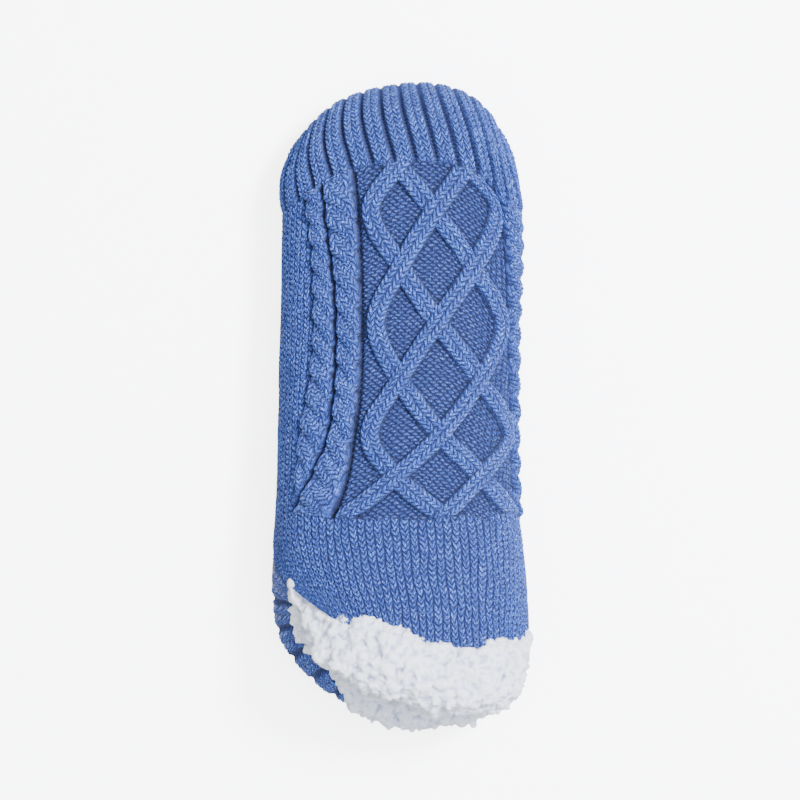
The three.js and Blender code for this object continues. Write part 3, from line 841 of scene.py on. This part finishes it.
def ramp(tree, value, stops):
    node = tree.nodes.new("ShaderNodeValToRGB")
    tree.links.new(value, node.inputs["Fac"])
    elements = node.color_ramp.elements
    while len(elements) < len(stops):
        elements.new(0.5)
    for element, (place, color) in zip(elements, stops):
        element.position = place
        element.color = (*color, 1)
    return node.outputs["Color"]


def blend_colors(tree, mode, factor, a, b):
    node = tree.nodes.new("ShaderNodeMix")
    node.data_type = "RGBA"
    node.blend_type = mode
    link_or_set(tree, node.inputs[0], factor)
    for socket, color in ((6, a), (7, b)):
        link_or_set(tree, node.inputs[socket], (*color, 1) if isinstance(color, tuple) else color)
    return node.outputs[2]


def scaled(tree, value, low, high, to_low=0.0, to_high=1.0):
    node = tree.nodes.new("ShaderNodeMapRange")
    tree.links.new(value, node.inputs["Value"])
    set_inputs(node, {"From Min": low, "From Max": high, "To Min": to_low, "To Max": to_high})
    return node.outputs["Result"]


def from_srgb(*color):
    """A colour given from 0 to 255 as it shows on screen, as a linear one."""
    shares = [c / 255 for c in color]
    return tuple(s / 12.92 if s <= 0.04045 else ((s + 0.055) / 1.055) ** 2.4 for s in shares)


def bumped(tree, shader, height, strength, distance):
    bump = tree.nodes.new("ShaderNodeBump")
    set_inputs(bump, {"Strength": strength, "Distance": distance})
    tree.links.new(height, bump.inputs["Height"])
    tree.links.new(bump.outputs["Normal"], shader.inputs["Normal"])


def yarn_gaps(tree):
    """How far a point lies in the gaps between the yarns, from 0 to 1, from its wale and course."""
    work = partial(calculate, tree)
    wale, course, purl, apart = (attribute(tree, name) for name in ("wale", "course", "purl", "apart"))
    place = work("ABSOLUTE", work("SUBTRACT", wale, work("ROUND", wale)))
    turn = work("MULTIPLY", work("MULTIPLY_ADD", place, LEG_RISE, course), math.pi)
    leg = work("ABSOLUTE", work("SINE", turn))
    between_legs = scaled(tree, leg, 0.12, 0.75, 0.95, 0.0)
    line = scaled(tree, place, 0.35, 0.45, 0.0, 1.2)
    between_wales = work("MULTIPLY", line, apart)
    in_middle = scaled(tree, place, 0.0, 0.1, 0.45, 0.0)
    plain = work("MAXIMUM", work("MAXIMUM", between_legs, between_wales), in_middle)

    row = work("FLOOR", course)
    shifted = work("ADD", wale, work("FRACT", work("MULTIPLY", row, 0.5)))
    a = work("SUBTRACT", shifted, work("ROUND", shifted))
    b = work("SUBTRACT", work("SUBTRACT", course, row), 0.5)
    wide = work("POWER", work("MULTIPLY", work("ABSOLUTE", a), 1 / 0.44), 2.0)
    high = work("POWER", work("MULTIPLY", work("ABSOLUTE", b), 2.0), 2.0)
    far = work("ADD", wide, high)
    bars = scaled(tree, far, 0.3, 1.0, 0.0, 1.0)
    is_purl = work("GREATER_THAN", purl, 0.5)
    plain_part = work("MULTIPLY", plain, work("SUBTRACT", 1.0, is_purl))
    return work("MULTIPLY_ADD", bars, is_purl, plain_part)


def knit_material():
    material, tree, shader = new_material("heathered_knit")
    place = object_place(tree)
    stretch = tree.nodes.new("ShaderNodeMapping")
    stretch.inputs["Scale"].default_value = (1.7, 0.8, 1.7)
    tree.links.new(place, stretch.inputs["Vector"])
    fibres = noise_node(tree, stretch.outputs["Vector"], 1500, 3.0, 0.8)
    flecks = noise_node(tree, stretch.outputs["Vector"], 520, 2.0, 0.6)
    clouds = noise_node(tree, place, 40, 3.0, 0.5)

    heather = ramp(tree, fibres, [
        (0.39, from_srgb(6, 18, 70)),
        (0.47, from_srgb(18, 42, 112)),
        (0.53, from_srgb(30, 60, 144)),
        (0.61, from_srgb(116, 155, 236)),
    ])
    tinted = blend_colors(tree, "MULTIPLY", 0.55, heather, ramp(tree, flecks, [
        (0.32, (0.62, 0.66, 0.78)),
        (0.62, (1.0, 1.0, 1.0)),
    ]))
    clouded = blend_colors(tree, "MULTIPLY", 0.5, tinted, ramp(tree, clouds, [
        (0.35, (0.84, 0.86, 0.9)),
        (0.65, (1.0, 1.0, 1.0)),
    ]))
    by_tone = ramp(tree, scaled(tree, attribute(tree, "tone"), -0.8, 0.8), [
        (0.2, (0.55, 0.6, 0.7)),
        (0.55, (1.0, 1.0, 1.0)),
        (0.85, (1.65, 1.56, 1.35)),
    ])
    color = blend_colors(tree, "MULTIPLY", 0.8, clouded, by_tone)
    gaps = yarn_gaps(tree)
    # Painted shade colour for the gaps between yarns and the hollows of the relief.
    painted_crevice_shade = from_srgb(14, 22, 62)
    for value, reach, shares, over in (
        # Painted highlight: the tops of the yarns drawn lighter.
        (gaps, (0.0, 0.4), (0.22, 0.0), from_srgb(70, 108, 194)),
        # Painted shade: the gaps between the yarns drawn dark.
        (gaps, (0.1, 1.0), (0.0, 0.95), painted_crevice_shade),
        # Painted shade: gutters, rib grooves, sunken purl ground and the flap drawn darker.
        (attribute(tree, "painted_shade"), (0.0, 1.0), (0.0, 0.88), from_srgb(22, 34, 82)),
        # Painted shade in the small and the broad hollows of the knit's relief.
        (attribute(tree, "near"), (0.1, 0.6), (0.0, 0.5), painted_crevice_shade),
        (attribute(tree, "painted_broad_shade"), (0.3, 1.6), (0.0, 0.6), from_srgb(16, 24, 60)),
    ):
        color = blend_colors(tree, "MIX", scaled(tree, value, *reach, *shares), color, over)
    tree.links.new(color, shader.inputs["Base Color"])
    set_inputs(shader, {
        "Roughness": 0.82,
        "Specular IOR Level": 0.25,
        "Sheen Weight": 0.06,
        "Sheen Roughness": 0.5,
        "Sheen Tint": (0.75, 0.84, 1.0, 1.0),
    })
    bumped(tree, shader, calculate(tree, "MULTIPLY_ADD", gaps, -0.8, fibres), 0.9, 0.0005)
    return material


def fleece_material():
    material, tree, shader = new_material("curly_fleece")
    place = object_place(tree)
    curls = noise_node(tree, place, 900, 6.0, 0.72)
    pile = ramp(tree, curls, [
        (0.3, from_srgb(226, 234, 255)),
        (0.6, from_srgb(250, 252, 255)),
    ])
    # Painted shade: the pile drawn greyer in its hollows.
    painted_hollow_shade = scaled(tree, attribute(tree, "near"), 0.02, 0.55, 0.0, 0.8)
    shaded = blend_colors(tree, "MIX", painted_hollow_shade, pile, from_srgb(176, 184, 214))
    tree.links.new(shaded, shader.inputs["Base Color"])
    set_inputs(shader, {
        "Roughness": 1.0,
        "Specular IOR Level": 0.1,
        "Subsurface Weight": 0.7,
        "Subsurface Radius": (1.0, 1.0, 1.0),
        "Subsurface Scale": 0.0028,
        "Sheen Weight": 0.25,
        "Sheen Roughness": 0.6,
    })
    bumped(tree, shader, curls, 1.0, 0.002)
    return material


def rubber_material():
    material, tree, shader = new_material("grip_rubber")
    place = object_place(tree)
    mottle = noise_node(tree, place, 900, 3.0, 0.6)
    color = ramp(tree, mottle, [(0.35, from_srgb(36, 50, 104)), (0.65, from_srgb(58, 78, 140))])
    tree.links.new(color, shader.inputs["Base Color"])
    set_inputs(shader, {"Roughness": 0.3, "Specular IOR Level": 0.2})
    bumped(tree, shader, mottle, 0.15, 0.0002)
    return material


def floor_material():
    material, tree, shader = new_material("studio_floor")
    place = object_place(tree)
    paper = noise_node(tree, place, 60, 2.0, 0.5)
    color = ramp(tree, paper, [(0.3, (0.93, 0.93, 0.94)), (0.7, (0.95, 0.95, 0.955))])
    tree.links.new(color, shader.inputs["Base Color"])
    set_inputs(shader, {"Roughness": 0.9, "Emission Color": (1, 1, 1, 1), "Emission Strength": 4.0})
    return material


# Fleece

def trim_share(t):
    turn = t % 1.0
    from_notch = np.minimum(np.minimum(turn, np.abs(turn - 0.5)), 1 - turn)
    return 0.3 + 0.7 * ease(from_notch, 0.02, 0.11)


def collar_frames(t):
    """Places round the collar, with the way out of the knit's edge and the way out of its face."""
    step = 0.004
    edge = base_points(t, COLLAR_V)
    round_ = base_points(t + step, COLLAR_V) - base_points(t - step, COLLAR_V)
    back = base_points(t, COLLAR_V - 0.6)
    unit = lambda w: w / np.linalg.norm(w, axis=1)[:, None]
    round_ = unit(round_)
    out = unit(np.cross(unit(edge - back), round_))
    is_top = t % 1.0 <= 0.5
    middle = np.sin(math.pi * np.where(is_top, t % 1.0, t % 1.0 - 0.5) * 2)
    lift = np.where(is_top, 0.25, 0.45) * middle
    up = unit(np.cross(round_, out) + out * lift[:, None])
    side = unit(out - up * np.sum(out * up, axis=1)[:, None])
    return edge, up, side


def curl_height(point):
    """Clumps of curled pile: rounded cells of two sizes with fine crimp on them."""
    p = Vector(point)
    big = noise.voronoi(p * 0.21 + Vector((9, 0, 0)))[0]
    small = noise.voronoi(p * 0.48 + Vector((0, 9, 0)))[0]
    crimp = noise.noise(p * 1.15)
    return 1.9 * (0.55 - big[0]) + 1.1 * (0.5 - small[0]) + 0.35 * crimp


def fleece_inside(material, coarse):
    """The pile of the lining down inside the sock."""
    points = base_points(*spread(
        np.linspace(0, 1, 200 // coarse),
        np.linspace(COLLAR_V - 4, 60, 90 // coarse)[::-1],
    ))
    outs = -outward_normals(points)
    points = points + outs * (KNIT_WALL + LAYER_GAP + FLEECE_PILE)
    shape = points.shape[:2]
    lift = np.array([curl_height(p) for p in points.reshape(-1, 3)]).reshape(shape) * 0.8
    # near: how far each point lies below its neighbours; the fleece's material paints shade into these
    # hollows.
    near = np.maximum(blur(lift, 4, 4) - lift, 0)
    points = points + outs * lift[..., None]
    piece = make_mesh("fleece_inside", points, grid_faces(*shape), {"near": near}, grid_uv(*shape))
    piece.data.materials.append(material)
    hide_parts("fleece_lining")


FLEECE_VOXEL = 0.64  # size of the faces of the fleece's rim
TRIM_PATH = [
    # height past the knit's edge, and place through the fleece from its outer to its inner face
    (-0.42, -0.12), (-0.4, -0.3), (-0.25, -0.46), (0.0, -0.55), (0.3, -0.56), (0.55, -0.5), (0.8, -0.3),
    (0.97, 0.05), (1.0, 0.5), (0.93, 0.85), (0.75, 1.1), (0.5, 1.15), (0.2, 1.05), (0.0, 1.0), (-0.4, 1.0),
]


def rolled_share(t):
    """How far the fleece rolls out over the knit: little beside the notch at +X and at the heel's +X side."""
    turn = t % 1.0
    flap_side = np.maximum(0.5 * (1 - ease(turn, 0.0, 0.04)), ease(turn, 0.06, 0.26))
    heel_side = np.maximum(0.5 * ease(turn, 0.86, 0.95), 1 - ease(turn, 0.74, 0.86))
    return np.where(turn <= 0.5, flap_side, heel_side)


def trim_points(t, at):
    """Points of the trim, and the way out of the knit's face there. at goes from 0 on the knit's outer
    face over the top to 1 inside the mouth."""
    edge, up, side = collar_frames(t)
    share = trim_share(t)
    rolled = rolled_share(t)
    reach = np.where(t % 1.0 <= 0.5, FLAP_TRIM, HEEL_TRIM) * share
    keys = np.linspace(0, 1, len(TRIM_PATH))
    height = follow(keys, [h for h, _ in TRIM_PATH], at)
    through = follow(keys, [w for _, w in TRIM_PATH], at)
    height = np.maximum(height, mix(np.full_like(t, 0.1), np.full_like(t, -1), rolled))
    through = np.maximum(through, mix(np.full_like(t, 0.12), np.full_like(t, -1), rolled))
    depth = KNIT_WALL + LAYER_GAP + FLEECE_PILE / 2 + (through - 0.5) * FLEECE_PILE * (1 + 0.7 * share)
    return edge + up * (height * reach)[:, None] - side * depth[:, None], side


def tuft_shape():
    """A ball of 80 faces."""
    ball = bmesh.new()
    bmesh.ops.create_icosphere(ball, subdivisions=2, radius=1.0)
    points = np.array([tuple(vert.co) for vert in ball.verts])
    faces = np.array([[vert.index for vert in face.verts] for face in ball.faces])
    ball.free()
    return points, faces


def tufts(rng, t, at, size, stretch):
    """Curled locks of pile lying over the trim in all directions, each a bent and crumpled ball."""
    places, side = trim_points(t, at)
    ball, faces = tuft_shape()
    share = trim_share(t)
    made = []
    for place, w, part in zip(places, side, share):
        radius = size[0] + (size[1] - size[0]) * rng.uniform() ** 2
        radius *= 0.5 + 0.5 * part
        long_way = rng.normal(0, 1, 3)
        axis = long_way / np.linalg.norm(long_way)
        cross = np.cross(axis, w + 0.01)
        cross /= np.linalg.norm(cross)
        third = np.cross(axis, cross)
        bend = rng.uniform(-0.35, 0.35)
        lump = 1 + 0.12 * np.sin(ball @ rng.normal(0, 3.2, 3) + rng.uniform(0, 6))
        shape = ball * lump[:, None]
        x, y, z = shape[:, 0] + bend * shape[:, 2] ** 2, shape[:, 1], shape[:, 2] * rng.uniform(*stretch)
        made.append(place + radius * (x[:, None] * cross + y[:, None] * third + z[:, None] * axis))
    points = np.array(made).reshape(-1, 3)
    every = (np.arange(len(t))[:, None, None] * len(ball) + faces[None]).reshape(-1, 3)
    return points, every


def merged(parts, voxel):
    """One closed skin round several closed meshes, as points and four-sided faces."""
    points = np.concatenate([part[0] for part in parts])
    faces = []
    first = 0
    for part_points, part_faces in parts:
        faces += [tuple(first + i for i in face) for face in part_faces.tolist()]
        first += len(part_points)
    mesh = bpy.data.meshes.new("raw_fleece")
    mesh.from_pydata(points.tolist(), [], faces)
    raw = new_object("raw_fleece", mesh)
    remesh = raw.modifiers.new("skin", "REMESH")
    remesh.mode = "VOXEL"
    remesh.voxel_size = voxel
    skin = bpy.data.meshes.new_from_object(raw.evaluated_get(bpy.context.evaluated_depsgraph_get()))
    points = np.empty(len(skin.vertices) * 3)
    skin.vertices.foreach_get("co", points)
    corners = np.empty(len(skin.loops), int)
    skin.loops.foreach_get("vertex_index", corners)
    bpy.data.objects.remove(raw)
    bpy.data.meshes.remove(mesh)
    bpy.data.meshes.remove(skin)
    return points.reshape(-1, 3), corners.reshape(-1, 4)


def gathered(index, values, count):
    """Sums of the rows of values that have the same index."""
    return np.stack([np.bincount(index, values[:, k], count) for k in range(3)], axis=1)


def relaxed(points, faces, share, times):
    """Each point drawn towards the mean of its neighbours."""
    ends = np.concatenate([faces, np.roll(faces, -1, axis=1)]).reshape(2, -1)
    count = np.bincount(ends[0], minlength=len(points))[:, None]
    for _ in range(times):
        points = mix(points, gathered(ends[0], points[ends[1]], len(points)) / count, share)
    return points


def face_normals_at_points(points, faces):
    corner = points[faces]
    normal = np.cross(corner[:, 2] - corner[:, 0], corner[:, 3] - corner[:, 1])
    total = gathered(faces.ravel(), np.repeat(normal, 4, axis=0), len(points))
    return total / np.maximum(np.linalg.norm(total, axis=1), 1e-9)[:, None]


def ring_uv(points, faces, ring):
    """Places on the trim's ring for each corner of each face, from 0 to 1 both ways."""
    rows, columns = ring.shape[:2]
    tree = kdtree.KDTree(rows * columns)
    for i, place in enumerate(ring.reshape(-1, 3)):
        tree.insert(place, i)
    tree.balance()
    nearest = np.array([tree.find(p)[1] for p in points])
    row, column = np.divmod(nearest, columns)
    off = points - ring[row, column]

    def share_of(step):
        return clamp(np.sum(off * step, axis=1) / np.maximum(np.sum(step * step, axis=1), 1e-9), -0.5, 0.5)

    ahead = share_of(ring[row, (column + 1) % columns] - ring[row, column])
    down = share_of(ring[np.minimum(row + 1, rows - 1), column] - ring[np.maximum(row - 1, 0), column])
    u = ((column + 0.5 + ahead) / columns)[faces]
    v = ((row + 0.5 + 2 * down) / rows)[faces]
    crosses = (u.max(axis=1) - u.min(axis=1) > 0.5)[:, None]
    u = np.where(crosses & (u < 0.5), 1.0, u)
    return np.stack([clamp(u, 0.001, 0.999), clamp(v, 0.001, 0.999)], axis=-1).reshape(-1, 2)


def clump_edges(points):
    """1 where two clumps of pile part, falling to 0 inside them."""
    shifts = (Vector((9, 2, 8)), Vector((-4, 7, 3)), Vector((5, -6, 1)))
    gaps = []
    for place in map(Vector, points):
        wander = Vector([noise.noise(place * 0.5 + shift) for shift in shifts]) * 1.2
        nearest = noise.voronoi((place + wander) * 0.21)[0]
        gaps.append(nearest[1] - nearest[0])
    return 1 - ease(np.array(gaps), 0.0, 0.34)


def fleece_rim(material, coarse):
    """The curly rim: the rolled trim and its locks in one skin."""
    rng = np.random.default_rng(5)
    columns = 480 // coarse
    turns = np.arange(columns) / columns
    rows = 40
    ring = np.array([trim_points(turns, np.full_like(turns, at))[0] for at in np.linspace(0, 1, rows)])
    index = np.arange(rows * columns).reshape(rows, columns)
    ahead = np.roll(index, -1, axis=1)
    below = np.roll(index, -1, axis=0)
    quads = np.stack([index, below, np.roll(below, -1, axis=1), ahead], axis=-1).reshape(-1, 4)
    count = 1500 // coarse
    small = tufts(rng, rng.uniform(0, 1, count), rng.uniform(0.05, 0.68, count), (1.0, 2.9), (1.1, 1.8))
    corner = tufts(rng, 0.5 + rng.normal(0, 0.022, 120), rng.uniform(0.1, 0.6, 120), (1.8, 3.0), (1.0, 1.3))
    points, faces = merged([(ring.reshape(-1, 3), quads), small, corner], FLEECE_VOXEL * coarse)
    points = relaxed(points, faces, 0.5, 2)
    crimp = np.array([noise.noise(p * 0.75) + 0.6 * noise.noise(p * 1.7) for p in map(Vector, points)])
    parting = clump_edges(points)
    lift = 0.3 + 0.46 * crimp - 1.1 * parting
    points = relaxed(points + face_normals_at_points(points, faces) * lift[:, None], faces, 0.5, 1)
    # hollow, kept as near: how far each point lies below its smoothed skin; the fleece's material paints
    # shade into these hollows.
    inward = relaxed(points, faces, 0.6, 10) - points
    hollow = np.sum(inward * face_normals_at_points(points, faces), axis=1)
    piece = make_mesh("fleece_rim", points, faces, {"near": np.maximum(0, hollow)})
    layer = piece.data.uv_layers.new(name="OFBake")
    layer.data.foreach_set("uv", ring_uv(points, faces, ring).astype(np.float32).ravel())
    piece.data.materials.append(material)
    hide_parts("fleece_lining")


# Grip dots

def dot_piece(material):
    """All the grip dots in one mesh, each a low dome with a rounded rim."""
    sides = 28
    profile = [(0.55, 0.0), (0.78, 0.06), (0.93, 0.28), (1.0, 0.62), (1.0, 1.0)]
    points = []
    faces = []
    dots = sorted(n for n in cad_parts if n.startswith("grip_dot"))
    for name in dots:
        low, high = (np.array(c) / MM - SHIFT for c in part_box(name))
        middle = (low + high) / 2
        radius = (high[0] - low[0]) / 2
        first = len(points)
        for share, rise in profile:
            for k in range(sides):
                angle = 2 * math.pi * k / sides
                points.append((
                    middle[0] + radius * share * math.cos(angle),
                    middle[1] + radius * share * math.sin(angle),
                    low[2] + DOT_HEIGHT * rise,
                ))
        for ring in range(len(profile) - 1):
            for k in range(sides):
                a = first + ring * sides + k
                b = first + ring * sides + (k + 1) % sides
                faces.append((a, b, b + sides, a + sides))
        faces.append(tuple(first + k for k in reversed(range(sides))))
        faces.append(tuple(first + (len(profile) - 1) * sides + k for k in range(sides)))
    mesh = bpy.data.meshes.new("grip_dots")
    mesh.from_pydata([tuple((np.array(p) + SHIFT) * MM) for p in points], [], faces)
    mesh.polygons.foreach_set("use_smooth", np.ones(len(mesh.polygons), bool))
    piece = new_object("grip_dots", mesh)
    piece.data.materials.append(material)
    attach(piece, "root")
    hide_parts(*dots)


# Studio

def camera():
    data = bpy.data.cameras.new("camera")
    data.lens = 100
    data.sensor_width = 36
    made = new_object("camera", data)
    field = PHOTO_SIDE * MM_PER_PIXEL * MM
    focus_height = 0.03
    distance = field / 2 / (data.sensor_width / 2 / data.lens)
    made.location = (0, 0, distance + focus_height)
    made.rotation_euler = (0, 0, math.pi)
    bpy.context.scene.camera = made


def area_light(name, location, size, power):
    data = bpy.data.lights.new(name, "AREA")
    data.shape = "DISK"
    data.size = size
    data.energy = power
    data.color = (0.98, 1.0, 1.12)
    made = new_object(name, data)
    made.location = location
    made.rotation_euler = (-Vector(location)).to_track_quat("-Z", "Y").to_euler()


def studio():
    mesh = bpy.data.meshes.new("floor")
    reach = 3.0
    corners = [(-reach, -reach, 0), (reach, -reach, 0), (reach, reach, 0), (-reach, reach, 0)]
    mesh.from_pydata(corners, [], [(0, 1, 2, 3)])
    floor = new_object("floor", mesh)
    mesh.materials.append(floor_material())
    floor.visible_diffuse = False
    world = bpy.data.worlds.new("studio")
    world.use_nodes = True
    set_inputs(world.node_tree.nodes["Background"], {"Color": (0.9, 0.96, 1.06, 1), "Strength": 1.3})
    bpy.context.scene.world = world
    area_light("softbox", (-0.2, 0.0, 1.25), 0.8, 20)
    area_light("key", (-0.56, -0.34, 1.05), 0.28, 40)


camera()
studio()
knit = knit_material()
fleece = fleece_material()

coarse = 1
STITCH_STEP = 0.36 * coarse
top_turns = np.concatenate([[-0.006, -0.003], np.linspace(0, 0.5, 396 // coarse), [0.503, 0.506]])
top_rows = np.concatenate([
    [-3.0, -2.0, -1.2, -0.6, -0.2],
    tip_rows(80 // coarse),
    np.arange(TOP_ROUND + STITCH_STEP, HEEL_ROW_START, STITCH_STEP),
    np.linspace(HEEL_ROW_START, COLLAR_V, 136 // coarse),
])
top_ends = [("knit_toe", 67.0), ("knit_instep", 142.0), ("knit_flap", COLLAR_V)]
knit_pieces(Grid(top_turns, top_rows), top_relief, top_ends, knit)
sole_turns = np.linspace(0.5, 1.0, 270 // coarse)
sole_rows = np.concatenate([
    tip_rows(60 // coarse),
    np.arange(TOP_ROUND + STITCH_STEP, HEEL_ROW_START, 1.45 * STITCH_STEP),
    np.linspace(HEEL_ROW_START, COLLAR_V, 236 // coarse),
])
sole_ends = [("knit_sole", HEEL_ROW_START), ("knit_heel", COLLAR_V)]
knit_pieces(Grid(sole_turns, sole_rows), bottom_relief, sole_ends, knit)

fleece_rim(fleece, coarse)
fleece_inside(fleece, coarse)
dot_piece(rubber_material())
